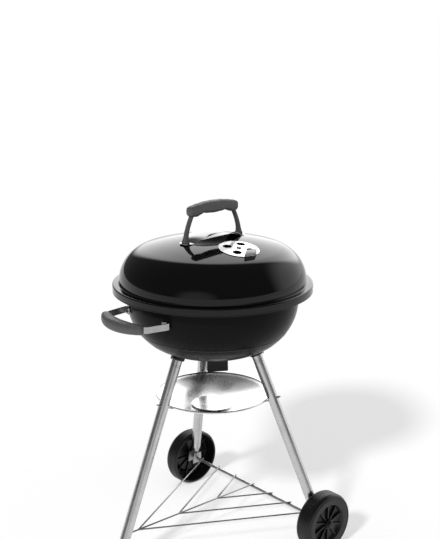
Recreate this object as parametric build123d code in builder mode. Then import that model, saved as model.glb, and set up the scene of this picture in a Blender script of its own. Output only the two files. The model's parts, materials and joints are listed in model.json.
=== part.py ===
from build123d import *
import os
from math import atan, atan2, cos, degrees, radians, sin, sqrt

# A free-standing kettle charcoal grill: a round bowl and a domed lid in enamelled sheet steel, on three
# splayed tube legs. Two legs end in brackets on a common axle with plastic wheels, the third in a foot cap.
# A wire rack joins the legs near the ground, and a round pan under the bowl's vents catches the ash.
# Millimetres, +Z up. X runs along the axle and the front leg points to -Y. The origin is on the ground,
# under the middle of the grill's outline seen from above; the kettle's own axis stands kettle_y behind it.

# ---- kettle ----
sheet = 1.2
lid_lip_radius = 242.0
lid_lip_top = 661.0
lid_lip_bottom = 642.0
dome_base_radius = 226.0
dome_shoulder_radius = 84.0
dome_shoulder_height = 666.0
dome_crown_radius = 600.0
bowl_radius = 208.0
bowl_shoulder_radius = 132.0
bowl_shoulder_height = 621.0
bowl_floor_radius = 380.0
rim_bead_radius = 4.2
rim_bead_centre_radius = 231.5
rim_flare_height = 641.0            # where the bowl's wall starts to slope out to its rim
body_gap = 0.3                      # air between pieces that move past each other

# ---- legs and running gear ----
leg_radius = 12.7
leg_wall = 1.5
leg_foot_reach = 305.5              # leg centreline from the kettle axis, on the ground
leg_slope = 0.3986                  # inward lean of a leg per unit of height
front_azimuth = 270.0
left_azimuth = 150.0
right_azimuth = 30.0
foot_cap_radius = 15.5
foot_cap_length = 40.0
neck_radius = 8.5
neck_top = 119.0                    # height where a wheel leg starts to narrow
neck_bottom = 100.0
axle_radius = 4.0
axle_height = 75.0
wheel_radius = 75.0
wheel_inner = 234.0                 # wheel's inner and outer faces, from the grill's middle plane
wheel_outer = 276.0
running_clearance = 0.05

# ---- grates, pan and handles ----
charcoal_grate_radius = 168.0
charcoal_tab_height = 535.0
cooking_grate_radius = 200.0
cooking_tab_height = 620.0
rack_wire = 4.0
pan_radius = 141.5
pan_rim_height = 375.0
pan_depth = 34.0
bowl_handle_height = 604.5
bowl_handle_azimuth = 267.6
bowl_handle_spread = 24.0           # half the angle between the handle's two feet
lid_grip_length = 146.0
lid_grip_height = 841.0
damper_azimuth = 355.0
damper_reach = 104.5
damper_radius = 48.0

# ---- derived ----
leg_tilt = degrees(atan(leg_slope))
front_reach = leg_foot_reach + foot_cap_radius / cos(radians(leg_tilt))
kettle_y = (front_reach - lid_lip_radius) / 2
kettle_axis = Axis((0, kettle_y, 0), (0, 0, 1))
dome_shoulder_centre = dome_base_radius - dome_shoulder_radius
dome_crown_z = dome_shoulder_height - sqrt(
    (dome_crown_radius - dome_shoulder_radius) ** 2 - dome_shoulder_centre**2
)
dome_top = dome_crown_z + dome_crown_radius
bowl_shoulder_centre = bowl_radius - bowl_shoulder_radius
bowl_floor_z = bowl_shoulder_height + sqrt(
    (bowl_floor_radius - bowl_shoulder_radius) ** 2 - bowl_shoulder_centre**2
)
bowl_bottom = bowl_floor_z - bowl_floor_radius
rim_bead_height = lid_lip_top - sheet - body_gap - rim_bead_radius


def radial_plane(azimuth):
    """An upright plane on the kettle's axis: its x runs outward and its y runs up."""
    angle = radians(azimuth)
    return Plane(
        origin=(0, kettle_y, 0), x_dir=(cos(angle), sin(angle), 0), z_dir=(sin(angle), -cos(angle), 0)
    )


def level(height):
    """A horizontal plane centred on the kettle's axis."""
    return Plane(origin=(0, kettle_y, height))


def around(radius, azimuth, height):
    """A point given by its radius and azimuth about the kettle's axis."""
    angle = radians(azimuth)
    return Vector(radius * cos(angle), kettle_y + radius * sin(angle), height)


def leg_reach(height):
    """Distance of a leg's centreline from the kettle's axis."""
    return leg_foot_reach - leg_slope * height


def leg_plane(azimuth, height):
    """A plane square to a leg's centreline at a height, its z running up the leg."""
    up = around(leg_reach(1), azimuth, 1) - around(leg_reach(0), azimuth, 0)
    angle = radians(azimuth)
    return Plane(
        origin=around(leg_reach(height), azimuth, height), x_dir=(-sin(angle), cos(angle), 0), z_dir=up
    )


def leg_run(low, high):
    """Length along a leg between two heights."""
    return (high - low) / cos(radians(leg_tilt))


def crown_height(radius):
    """Height of the lid's outer skin over its crown."""
    return dome_crown_z + sqrt(dome_crown_radius**2 - radius**2)


def bowl_outer(height):
    """Radius of the bowl's outer skin on its shoulder."""
    return bowl_shoulder_centre + sqrt(bowl_shoulder_radius**2 - min(height - bowl_shoulder_height, 0) ** 2)


def dome_line(inset):
    """The lid's profile, inset from its outer skin, from the crown to the edge of the lip."""
    lean = degrees(atan2(dome_shoulder_centre, dome_shoulder_height - dome_crown_z))
    CenterArc((0, dome_crown_z), dome_crown_radius - inset, 90 - lean, lean)
    CenterArc(
        (dome_shoulder_centre, dome_shoulder_height), dome_shoulder_radius - inset, 0, 90 - lean
    )
    FilletPolyline(
        (dome_base_radius - inset, dome_shoulder_height),
        (dome_base_radius - inset, lid_lip_top - inset),
        (lid_lip_radius - inset, lid_lip_top - inset),
        (lid_lip_radius - inset, lid_lip_bottom),
        radius=[2 + inset, 3.5 - inset],
    )


def bowl_line(inset):
    """The bowl's profile, inset from its outer skin, from the middle of the floor to the rim bead."""
    lean = degrees(atan2(bowl_shoulder_centre, bowl_floor_z - bowl_shoulder_height))
    CenterArc((0, bowl_floor_z), bowl_floor_radius - inset, -90, lean)
    CenterArc(
        (bowl_shoulder_centre, bowl_shoulder_height), bowl_shoulder_radius - inset, lean - 90, 90 - lean
    )
    FilletPolyline(
        (bowl_radius - inset, bowl_shoulder_height),
        (bowl_radius - inset, rim_flare_height),
        (rim_bead_centre_radius - inset, rim_bead_height),
        radius=6 + inset,
    )


os.makedirs("parts", exist_ok=True)

# ================================ lid ================================
damper_seat = around(damper_reach, damper_azimuth, crown_height(damper_reach))
damper_out = radians(damper_azimuth)
damper_plane = Plane(
    origin=damper_seat,
    x_dir=(-sin(damper_out), cos(damper_out), 0),
    z_dir=damper_seat - Vector(0, kettle_y, dome_crown_z),
)
damper_section = Plane(origin=damper_seat, x_dir=damper_plane.x_dir, z_dir=-damper_plane.y_dir)
damper_hole_radius = 10.5
lid_hole_radius = damper_hole_radius - 0.5
damper_hole_reach = 28.0
rivet_radius = 3.0

lid_foot_reach = 84.0
screw_radius = 2.5

with BuildPart() as lid:
    with BuildSketch(radial_plane(0)):
        with BuildLine():
            dome_line(0)
            dome_line(sheet)
            Line((0, dome_top), (0, dome_top - sheet))
            Line((lid_lip_radius, lid_lip_bottom), (lid_lip_radius - sheet, lid_lip_bottom))
        make_face()
    revolve(axis=kettle_axis)
    with BuildSketch(damper_plane):
        with PolarLocations(damper_hole_reach, 4, start_angle=45):
            Circle(lid_hole_radius)
        Circle(rivet_radius)
    extrude(amount=20, both=True, mode=Mode.SUBTRACT)
    with BuildSketch(level(lid_lip_top)):
        with PolarLocations(lid_foot_reach, 2, start_angle=90):
            Circle(screw_radius)
    extrude(until=Until.LAST, mode=Mode.SUBTRACT)
lid.part.label = "lid"
export_step(lid.part, "parts/lid.step")

# Damper disc: a dished aluminium plate that lies on the crown and turns on its rivet.
damper_sheet = 1.2
damper_low = dome_crown_radius + body_gap
with BuildPart() as lid_damper:
    with BuildSketch(damper_section):
        with BuildLine():
            half_angle = degrees(atan(damper_radius / dome_crown_radius))
            CenterArc((0, -dome_crown_radius), damper_low, 90 - half_angle, half_angle)
            CenterArc((0, -dome_crown_radius), damper_low + damper_sheet, 90 - half_angle, half_angle)
            Line((0, body_gap), (0, body_gap + damper_sheet))
            edge = Vector(sin(radians(half_angle)), cos(radians(half_angle)))
            below = Vector(0, -dome_crown_radius)
            Line(below + edge * damper_low, below + edge * (damper_low + damper_sheet))
        make_face()
    revolve(axis=Axis(damper_plane.origin, damper_plane.z_dir))
    # upturned thumb tab on the edge away from the lid's handle
    tab_width = 34.0
    tab_height = 15.0
    chord_reach = sqrt(damper_radius**2 - (tab_width / 2) ** 2) - damper_sheet
    tab_sag = chord_reach**2 / (2 * dome_crown_radius)
    tab_root = damper_plane.offset(body_gap - tab_sag)
    with BuildSketch(tab_root):
        with Locations((0, -chord_reach)):
            Rectangle(tab_width, damper_sheet)
    extrude(amount=tab_height)
    with BuildSketch(damper_plane):
        with PolarLocations(damper_hole_reach, 4, start_angle=45):
            Circle(damper_hole_radius)
        Circle(rivet_radius + running_clearance)
    extrude(amount=10, both=True, mode=Mode.SUBTRACT)
lid_damper.part.label = "lid_damper"
export_step(lid_damper.part, "parts/lid_damper.step")

rivet_tail = sheet + 2.0              # how far the rivet reaches below the lid's outer skin
rivet_head = 2 * body_gap + damper_sheet
rivet_head_radius = 6.0
rivet_head_height = 2.4
with BuildPart() as lid_damper_rivet:
    with BuildSketch(damper_plane.offset(-rivet_tail)):
        Circle(rivet_radius)
    extrude(amount=rivet_tail + rivet_head + 1)
    with BuildSketch(damper_plane.offset(rivet_head)):
        Circle(rivet_head_radius)
    extrude(amount=rivet_head_height)
    fillet(lid_damper_rivet.faces().sort_by(Axis(damper_seat, damper_plane.z_dir))[-1].edges(), 1.2)
    with BuildSketch(damper_plane.offset(-rivet_tail)):
        Circle(rivet_head_radius - 1)
    extrude(amount=rivet_tail - sheet - 0.2)
lid_damper_rivet.part.label = "lid_damper_rivet"
export_step(lid_damper_rivet.part, "parts/lid_damper_rivet.step")

# Heat shield: a bright arched plate between the lid and the hand, screwed down under the handle's feet.
shield_sheet = 1.0
shield_width = 68.0
shield_end_width = 26.0
shield_end = 96.0
shield_foot_inner = 76.0
shield_seat = crown_height(shield_foot_inner) + 0.1
shield_rise = 24.0
with BuildPart() as heat_shield:
    with BuildSketch(radial_plane(90)):
        with BuildLine():
            for lift in (0, shield_sheet):
                ThreePointArc(
                    (-shield_foot_inner, shield_seat + lift),
                    (0, shield_seat + shield_rise + lift),
                    (shield_foot_inner, shield_seat + lift),
                )
            for side in (-1, 1):
                Polyline(
                    (side * shield_foot_inner, shield_seat),
                    (side * shield_end, shield_seat),
                    (side * shield_end, shield_seat + shield_sheet),
                    (side * shield_foot_inner, shield_seat + shield_sheet),
                )
        make_face()
    extrude(amount=shield_width / 2, both=True)
    with BuildSketch(level(lid_lip_top)):
        with BuildLine():
            for side in (-1, 1):
                ThreePointArc(
                    (side * shield_end_width / 2, -shield_end),
                    (side * shield_width / 2, 0),
                    (side * shield_end_width / 2, shield_end),
                )
                Line((-shield_end_width / 2, side * shield_end), (shield_end_width / 2, side * shield_end))
        make_face()
    extrude(amount=200, mode=Mode.INTERSECT)
    with BuildSketch(level(lid_lip_top)):
        with PolarLocations(lid_foot_reach, 2, start_angle=90):
            Circle(screw_radius)
    extrude(amount=200, mode=Mode.SUBTRACT)
heat_shield.part.label = "heat_shield"
export_step(heat_shield.part, "parts/heat_shield.step")

# Handle arms: two bowed legs that carry the grip and widen to a foot over the shield's ends.
arm_foot = shield_seat + shield_sheet
arm_top = lid_grip_height - 6.0
arm_width = 12.0
arm_outer = ((90, arm_foot), (83, arm_foot + 22), (76, arm_foot + 46), (67, arm_top))
arm_inner = ((57, arm_top), (66, arm_foot + 46), (73, arm_foot + 22), (77, arm_foot))
with BuildPart() as lid_handle_arms:
    for side in (-1, 1):
        with BuildSketch(radial_plane(90)):
            with BuildLine():
                Spline(*[(side * out, height) for out, height in arm_outer])
                Line((side * arm_outer[-1][0], arm_top), (side * arm_inner[0][0], arm_top))
                Spline(*[(side * out, height) for out, height in arm_inner])
                Line((side * arm_inner[-1][0], arm_foot), (side * arm_outer[0][0], arm_foot))
            make_face()
        extrude(amount=arm_width / 2, both=True)
    with BuildSketch(level(arm_foot)):
        with PolarLocations(lid_foot_reach, 2, start_angle=90):
            Circle(screw_radius)
    extrude(amount=18, mode=Mode.SUBTRACT)
lid_handle_arms.part.label = "lid_handle_arms"
export_step(lid_handle_arms.part, "parts/lid_handle_arms.step")

# Grip: a moulded bar, fuller in the middle on top, with a finger lobe near each end below.
grip_width = 28.0
half_grip = lid_grip_length / 2
with BuildPart() as lid_handle_grip:
    with BuildSketch(radial_plane(90)):
        with BuildLine():
            Spline(
                (-half_grip, lid_grip_height + 2),
                (-half_grip + 12, lid_grip_height + 11),
                (0, lid_grip_height + 17.5),
                (half_grip - 12, lid_grip_height + 11),
                (half_grip, lid_grip_height + 2),
            )
            Spline(
                (half_grip, lid_grip_height + 2),
                (54, lid_grip_height - 15),
                (36, lid_grip_height - 8),
                (0, lid_grip_height - 11),
                (-36, lid_grip_height - 8),
                (-54, lid_grip_height - 15),
                (-half_grip, lid_grip_height + 2),
            )
        make_face()
    extrude(amount=grip_width / 2, both=True)
    side_faces = lid_handle_grip.faces().filter_by(Axis.X)
    fillet(side_faces.edges(), 7)
    add(lid_handle_arms.part, mode=Mode.SUBTRACT)
lid_handle_grip.part.label = "lid_handle_grip"
export_step(lid_handle_grip.part, "parts/lid_handle_grip.step")

# Screws that come up from inside the lid into the handle's feet.
screw_head_radius = 5.0
screw_seat = crown_height(lid_foot_reach) - sheet - 1.5
with BuildPart() as lid_handle_screws:
    with BuildSketch(level(screw_seat)):
        with PolarLocations(lid_foot_reach, 2, start_angle=90):
            Circle(screw_radius)
    extrude(amount=arm_foot + 16 - screw_seat)
    with BuildSketch(level(screw_seat)):
        with PolarLocations(lid_foot_reach, 2, start_angle=90):
            Circle(screw_head_radius)
    extrude(amount=-3)
lid_handle_screws.part.label = "lid_handle_screws"
export_step(lid_handle_screws.part, "parts/lid_handle_screws.step")

# Hook inside the lid's shoulder, for hanging the lid on the bowl's rim.
hook_azimuth = 90.0
hook_wire = 4.0
hook_low = 696.0
hook_tip_reach = 180.0
with BuildPart() as lid_hook:
    with BuildLine(radial_plane(hook_azimuth)) as hook_path:
        FilletPolyline(
            (212, hook_low + 26),
            (206, hook_low),
            (hook_tip_reach, hook_low),
            (hook_tip_reach, hook_low + 14),
            radius=[5, 8],
        )
    with BuildSketch(Plane(origin=hook_path.line @ 0, z_dir=hook_path.line % 0)):
        Circle(hook_wire / 2)
    sweep()
    with BuildSketch(radial_plane(0)):
        with BuildLine():
            dome_line(sheet)
            Polyline(
                (0, dome_top - sheet), (0, dome_top + 9), (300, dome_top + 9),
                (300, lid_lip_bottom), (lid_lip_radius - sheet, lid_lip_bottom),
            )
        make_face()
    revolve(axis=kettle_axis, mode=Mode.SUBTRACT)
lid_hook.part.label = "lid_hook"
export_step(lid_hook.part, "parts/lid_hook.step")

# ================================ bowl ================================
vent_reach = 52.0
vent_length = 28.0
vent_width = 16.0
spindle_radius = 5.0
leg_azimuths = (front_azimuth, left_azimuth, right_azimuth)

rivet_spacing = 9.0
rivet_inset = 2.2                   # degrees from the handle's arm back to its rivets


def foot_plane(side):
    """A plane on the bowl's wall at the rivets of one foot of its side handle: x level, y up, z outward."""
    azimuth = bowl_handle_azimuth + side * (bowl_handle_spread - rivet_inset)
    angle = radians(azimuth)
    return Plane(
        origin=around(bowl_outer(bowl_handle_height), azimuth, bowl_handle_height),
        x_dir=(-sin(angle), cos(angle), 0),
        z_dir=(cos(angle), sin(angle), 0),
    )


with BuildPart() as bowl:
    with BuildSketch(radial_plane(0)):
        with BuildLine():
            bowl_line(0)
            bowl_line(sheet)
            Line((0, bowl_bottom), (0, bowl_bottom + sheet))
            Line(
                (rim_bead_centre_radius - sheet, rim_bead_height), (rim_bead_centre_radius, rim_bead_height)
            )
        make_face()
    revolve(axis=kettle_axis)
    with BuildSketch(radial_plane(0)):
        with Locations((rim_bead_centre_radius, rim_bead_height)):
            Circle(rim_bead_radius)
    revolve(axis=kettle_axis)
    with BuildSketch(level(bowl_bottom)):
        with PolarLocations(vent_reach, 3):
            SlotCenterToCenter(vent_length, vent_width)
        Circle(spindle_radius + running_clearance)
    extrude(amount=30, both=True, mode=Mode.SUBTRACT)
    for side in (-1, 1):
        with BuildSketch(foot_plane(side)):
            with GridLocations(0, rivet_spacing, 1, 2):
                Circle(rivet_radius)
        extrude(amount=20, both=True, mode=Mode.SUBTRACT)
bowl.part.label = "bowl"
export_step(bowl.part, "parts/bowl.step")

# Everything inside the bowl's inner skin, and everything inside its outer skin, for trimming what meets it.
with BuildPart() as bowl_inside:
    with BuildSketch(radial_plane(0)):
        with BuildLine():
            bowl_line(sheet)
            Polyline(
                (0, bowl_bottom + sheet),
                (0, rim_bead_height),
                (rim_bead_centre_radius - sheet, rim_bead_height),
            )
        make_face()
    revolve(axis=kettle_axis)
with BuildPart() as bowl_envelope:
    with BuildSketch(radial_plane(0)):
        with BuildLine():
            bowl_line(0)
            Polyline((0, bowl_bottom), (0, rim_bead_height), (rim_bead_centre_radius, rim_bead_height))
        make_face()
    revolve(axis=kettle_axis)

# Steel tabs riveted round the bowl: a lower three for the charcoal grate, an upper three for cooking.
tab_azimuths = (90.0, 210.0, 330.0)
tab_width = 22.0
tab_thickness = 2.0
tab_inner = {charcoal_tab_height: 152.0, cooking_tab_height: 188.0}
with BuildPart() as grate_tabs:
    for azimuth in tab_azimuths:
        for height, inner in tab_inner.items():
            with BuildSketch(radial_plane(azimuth)):
                with BuildLine():
                    Polyline(
                        (inner, height), (250, height), (250, height - 16),
                        (inner + 18, height - 16), (inner, height - tab_thickness), close=True,
                    )
                make_face()
            extrude(amount=tab_width / 2, both=True)
    add(bowl_inside.part, mode=Mode.INTERSECT)
grate_tabs.part.label = "grate_tabs"
export_step(grate_tabs.part, "parts/grate_tabs.step")


# Charcoal grate: stout parallel bars in a ring, on two cross bars.
charcoal_wire = 5.0
charcoal_pitch = 24.0
charcoal_cross = 100.0              # distance between the cross bars
charcoal_height = charcoal_tab_height + body_gap + charcoal_wire / 2
across_bars = Plane(origin=(0, kettle_y, charcoal_height), x_dir=(1, 0, 0), z_dir=(0, 1, 0))
along_bars = Plane(origin=(0, kettle_y, charcoal_height - 3), x_dir=(0, 1, 0), z_dir=(1, 0, 0))
with BuildPart() as charcoal_grate:
    with BuildSketch(across_bars):
        with GridLocations(charcoal_pitch, 0, 13, 1):
            Circle(charcoal_wire / 2)
    extrude(amount=charcoal_grate_radius, both=True)
    with BuildSketch(along_bars):
        with GridLocations(charcoal_cross, 0, 2, 1):
            Circle(charcoal_wire / 2)
    extrude(amount=charcoal_grate_radius, both=True)
    with BuildSketch(level(charcoal_height - 20)):
        Circle(charcoal_grate_radius)
    extrude(amount=40, mode=Mode.INTERSECT)
    with BuildSketch(radial_plane(45)):
        with Locations((charcoal_grate_radius, charcoal_height)):
            Circle(charcoal_wire / 2)
    revolve(axis=kettle_axis)
charcoal_grate.part.label = "charcoal_grate"
export_step(charcoal_grate.part, "parts/charcoal_grate.step")

# Cooking grate: close parallel rods in a stouter ring, on two cross bars.
cooking_ring_wire = 6.0
cooking_wire = 3.6
cooking_pitch = 14.0
cooking_low = cooking_tab_height + body_gap
cooking_top = cooking_low + cooking_ring_wire
cooking_cross = 150.0               # distance between the cross bars
with BuildPart() as cooking_grate:
    with BuildSketch(level(cooking_top - cooking_wire)):
        Circle(cooking_grate_radius)
        with GridLocations(cooking_pitch, 0, 28, 1):
            Rectangle(cooking_pitch - cooking_wire, 3 * cooking_grate_radius, mode=Mode.SUBTRACT)
    extrude(amount=cooking_wire)
    with BuildSketch(level(cooking_low)):
        Circle(cooking_grate_radius)
        with GridLocations(0, cooking_cross, 1, 2):
            Rectangle(2 * cooking_grate_radius, cooking_wire, mode=Mode.INTERSECT)
    extrude(amount=cooking_ring_wire - cooking_wire)
    with BuildSketch(level(cooking_low)):
        Circle(cooking_grate_radius + cooking_ring_wire / 2)
        Circle(cooking_grate_radius - cooking_ring_wire / 2, mode=Mode.SUBTRACT)
    extrude(amount=cooking_ring_wire)
cooking_grate.part.label = "cooking_grate"
export_step(cooking_grate.part, "parts/cooking_grate.step")

# Lifting loops: a bent wire welded on top of the cooking grate's ring at each side.
loop_half = 32.0
loop_rise = 25.0
loop_reach = sqrt(cooking_grate_radius**2 - loop_half**2)
with BuildPart() as grate_loops:
    for side in (-1, 1):
        loop_plane = Plane(
            origin=(side * loop_reach, kettle_y, cooking_top), x_dir=(0, 1, 0), z_dir=(1, 0, 0)
        )
        with BuildLine(loop_plane) as loop_path:
            FilletPolyline(
                (-loop_half, 0), (-loop_half, loop_rise), (loop_half, loop_rise), (loop_half, 0), radius=10
            )
        with BuildSketch(Plane(origin=loop_path.line @ 0, z_dir=loop_path.line % 0)):
            Circle(cooking_wire / 2)
        sweep(path=loop_path.line)
grate_loops.part.label = "grate_loops"
export_step(grate_loops.part, "parts/grate_loops.step")

# Ash sweeper: three dished blades on a hub, lying just over the bowl's floor.
blade_sheet = 1.2
blade_reach = 84.0
blade_half_angle = 21.0
blade_low = bowl_floor_radius - sheet - body_gap
blade_hub_radius = 13.0
blade_hub_height = 4.5
spindle_top = bowl_bottom + sheet + 9.0
spindle_tail = 7.0
with BuildPart() as ash_sweeper:
    for azimuth in (60, 180, 300):
        with BuildSketch(radial_plane(azimuth - blade_half_angle)):
            with BuildLine():
                lean = degrees(atan(blade_reach / bowl_floor_radius))
                CenterArc((0, bowl_floor_z), blade_low, -90, lean)
                CenterArc((0, bowl_floor_z), blade_low - blade_sheet, -90, lean)
                out = Vector(sin(radians(lean)), -cos(radians(lean)))
                above = Vector(0, bowl_floor_z)
                Line((0, bowl_floor_z - blade_low), (0, bowl_floor_z - blade_low + blade_sheet))
                Line(above + out * blade_low, above + out * (blade_low - blade_sheet))
            make_face()
        revolve(axis=kettle_axis, revolution_arc=2 * blade_half_angle)
    with BuildSketch(level(bowl_floor_z - blade_low)):
        Circle(blade_hub_radius)
    extrude(amount=blade_hub_height)
    with BuildSketch(level(bowl_bottom)):
        Circle(spindle_radius)
    extrude(amount=20, mode=Mode.SUBTRACT)
ash_sweeper.part.label = "ash_sweeper"
export_step(ash_sweeper.part, "parts/ash_sweeper.step")

with BuildPart() as sweeper_spindle:
    with BuildSketch(level(bowl_bottom - spindle_tail)):
        Circle(spindle_radius)
    extrude(amount=spindle_top - bowl_bottom + spindle_tail)
    with BuildSketch(level(bowl_floor_z - blade_low + blade_hub_height)):
        Circle(spindle_radius + 3.5)
    extrude(amount=3)
sweeper_spindle.part.label = "sweeper_spindle"
export_step(sweeper_spindle.part, "parts/sweeper_spindle.step")

# The sweeper's handle: a flat black block that hangs below the bowl, longer to one side of its spindle.
handle_azimuth = 60.0
handle_bottom = 430.0
handle_top = bowl_bottom - 1.5
handle_thick = 16.0
handle_neck_radius = 11.0
with BuildPart() as sweeper_handle:
    with BuildSketch(radial_plane(handle_azimuth)):
        with BuildLine():
            FilletPolyline(
                (-14, handle_top), (-15, handle_bottom), (37, handle_bottom), (36, handle_top),
                radius=3, close=True,
            )
        make_face()
    extrude(amount=handle_thick / 2, both=True)
    fillet(sweeper_handle.faces().filter_by(GeomType.PLANE).sort_by(Axis.Z)[0].edges(), 1.5)
    with BuildSketch(level(handle_top - 12)):
        Circle(handle_neck_radius)
    extrude(amount=12)
    add(sweeper_spindle.part, mode=Mode.SUBTRACT)
sweeper_handle.part.label = "sweeper_handle"
export_step(sweeper_handle.part, "parts/sweeper_handle.step")

# ================================ side handle ================================
# Two flat aluminium arms riveted to the bowl reach out to a curved grip.
arm_sheet = 3.0
arm_height = 16.0
grip_half = 71.0
grip_end_reach = 259.0              # grip ends and grip middle, outward from the kettle's axis
grip_middle_reach = 279.0
handle_plane = Plane(
    origin=(0, kettle_y, bowl_handle_height),
    x_dir=(sin(radians(bowl_handle_azimuth)), -cos(radians(bowl_handle_azimuth)), 0),
    z_dir=(0, 0, 1),
)
with BuildPart() as bowl_handle_arms:
    for side in (-1, 1):
        foot_half = bowl_radius * sin(radians(bowl_handle_spread))
        foot_out = bowl_radius * cos(radians(bowl_handle_spread))
        with BuildSketch(handle_plane.offset(-arm_height / 2)):
            with BuildLine():
                FilletPolyline(
                    (side * (foot_half - 17), foot_out + 9.6),
                    (side * (foot_half + 4), foot_out + 1),
                    (side * (grip_half + 6), grip_end_reach - 8),
                    (side * (grip_half - 8), grip_end_reach + 6),
                    radius=[2.5, 5],
                )
            trace(line_width=arm_sheet)
        extrude(amount=arm_height)
    add(bowl_envelope.part, mode=Mode.SUBTRACT)
    for side in (-1, 1):
        with BuildSketch(foot_plane(side)):
            with GridLocations(0, rivet_spacing, 1, 2):
                Circle(rivet_radius)
        extrude(amount=20, both=True, mode=Mode.SUBTRACT)
bowl_handle_arms.part.label = "bowl_handle_arms"
export_step(bowl_handle_arms.part, "parts/bowl_handle_arms.step")

# The grip is a moulded bar that bows outward between the arms and is rounded all over.
with BuildPart() as bowl_handle_grip:
    with BuildLine(handle_plane) as grip_line:
        ThreePointArc((-grip_half, grip_end_reach), (0, grip_middle_reach), (grip_half, grip_end_reach))
    for spot, wide, high in ((0, 21, 19), (0.5, 30, 26), (1, 21, 19)):
        section = Plane(origin=grip_line.line @ spot, x_dir=(0, 0, 1), z_dir=grip_line.line % spot)
        with BuildSketch(section):
            RectangleRounded(high, wide, 8)
    sweep(path=grip_line.line, multisection=True)
    for end in (0, -1):
        flat = bowl_handle_grip.faces().filter_by(GeomType.PLANE).sort_by(Axis.X)[end]
        fillet(flat.edges(), 4)
    add(bowl_handle_arms.part, mode=Mode.SUBTRACT)
bowl_handle_grip.part.label = "bowl_handle_grip"
export_step(bowl_handle_grip.part, "parts/bowl_handle_grip.step")

rivet_length = sheet + arm_sheet + 6.0
with BuildPart() as bowl_handle_rivets:
    for side in (-1, 1):
        with BuildSketch(foot_plane(side).offset(-sheet - 3)):
            with GridLocations(0, rivet_spacing, 1, 2):
                Circle(rivet_radius)
        extrude(amount=rivet_length)
        with BuildSketch(foot_plane(side).offset(arm_sheet + 2.2)):
            with GridLocations(0, rivet_spacing, 1, 2):
                Circle(rivet_radius + 1.2)
        extrude(amount=1.6)
bowl_handle_rivets.part.label = "bowl_handle_rivets"
export_step(bowl_handle_rivets.part, "parts/bowl_handle_rivets.step")

# ================================ stand ================================
socket_wall = 4.5
socket_low = 482.0                  # height of a socket's mouth on the leg's centreline
leg_top = 500.0
leg_screw_radius = 2.0
leg_screw_head_radius = 3.6
leg_screw_height = 487.0


def screw_plane(azimuth):
    """A plane on a socket's outer side, square to the screw that holds the leg, its z outward."""
    leg = leg_plane(azimuth, leg_screw_height)
    outward = -leg.y_dir
    return Plane(origin=leg.origin + outward * (leg_radius + socket_wall), x_dir=leg.x_dir, z_dir=outward)


with BuildPart() as leg_sockets:
    for azimuth in leg_azimuths:
        with BuildSketch(leg_plane(azimuth, socket_low)):
            Circle(leg_radius + socket_wall)
            Circle(leg_radius, mode=Mode.SUBTRACT)
        extrude(amount=leg_run(socket_low, leg_top + 40))
    add(bowl_envelope.part, mode=Mode.SUBTRACT)
    for azimuth in leg_azimuths:
        with BuildSketch(screw_plane(azimuth)):
            Circle(leg_screw_radius)
        extrude(amount=-24, mode=Mode.SUBTRACT)
leg_sockets.part.label = "leg_sockets"
export_step(leg_sockets.part, "parts/leg_sockets.step")

with BuildPart() as leg_screws:
    for azimuth in leg_azimuths:
        with BuildSketch(screw_plane(azimuth)):
            Circle(leg_screw_radius)
        extrude(amount=-(socket_wall + leg_wall + 4))
        with BuildSketch(screw_plane(azimuth)):
            Circle(leg_screw_head_radius)
        extrude(amount=2.2)
leg_screws.part.label = "leg_screws"
export_step(leg_screws.part, "parts/leg_screws.step")

# Front leg: one straight tube from its socket down into the foot cap.
foot_tube_end = 6.0
rack_height = axle_height + axle_radius + rack_wire / 2 + 0.1
with BuildPart() as front_leg:
    with BuildSketch(leg_plane(front_azimuth, foot_tube_end)):
        Circle(leg_radius)
        Circle(leg_radius - leg_wall, mode=Mode.SUBTRACT)
    extrude(amount=leg_run(foot_tube_end, leg_top))
    add(bowl_envelope.part, mode=Mode.SUBTRACT)
    add(leg_screws.part, mode=Mode.SUBTRACT)
    rack_end = around(leg_reach(rack_height), front_azimuth, rack_height)
    with BuildSketch(Plane(origin=rack_end, z_dir=(0, 1, 0))):
        Circle(rack_wire / 2)
    extrude(amount=30, mode=Mode.SUBTRACT)
front_leg.part.label = "front_leg"
export_step(front_leg.part, "parts/front_leg.step")

with BuildPart() as foot_cap:
    with BuildSketch(leg_plane(front_azimuth, -8)):
        Circle(foot_cap_radius)
    extrude(amount=leg_run(-8, foot_cap_length))
    fillet(foot_cap.faces().sort_by(Axis.Z)[-1].edges(), 1.2)
    with BuildSketch(leg_plane(front_azimuth, foot_tube_end)):
        Circle(leg_radius)
    extrude(amount=80, mode=Mode.SUBTRACT)
    split(bisect_by=Plane.XY, keep=Keep.TOP)
foot_cap.part.label = "foot_cap"
export_step(foot_cap.part, "parts/foot_cap.step")

# Wheel legs: the tube is drawn down to a narrow neck above the axle bracket.
neck_end = 86.0
bracket_low = 61.0
bracket_high = 96.0
bracket_gap = 18.2
bracket_sheet = 2.0
bracket_depth = 30.0
axle_reach = leg_reach(axle_height)
axle_offset = axle_reach * sin(radians(right_azimuth))          # axle line behind the kettle's axis
axle_y = kettle_y + axle_offset


def wheel_leg(azimuth):
    """A leg for a wheel: tube, taper and neck."""
    with BuildPart() as leg:
        for trim, mode in ((0, Mode.ADD), (leg_wall, Mode.SUBTRACT)):
            with BuildSketch(leg_plane(azimuth, neck_top)):
                Circle(leg_radius - trim)
            extrude(amount=leg_run(neck_top, leg_top), mode=mode)
            with BuildSketch(leg_plane(azimuth, neck_end)):
                Circle(neck_radius - trim)
            extrude(amount=leg_run(neck_end, neck_bottom), mode=mode)
            with BuildSketch(leg_plane(azimuth, neck_bottom)):
                Circle(neck_radius - trim)
            with BuildSketch(leg_plane(azimuth, neck_top)):
                Circle(leg_radius - trim)
            loft(mode=mode)
        add(bowl_envelope.part, mode=Mode.SUBTRACT)
        add(leg_screws.part, mode=Mode.SUBTRACT)
    return leg.part


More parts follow.
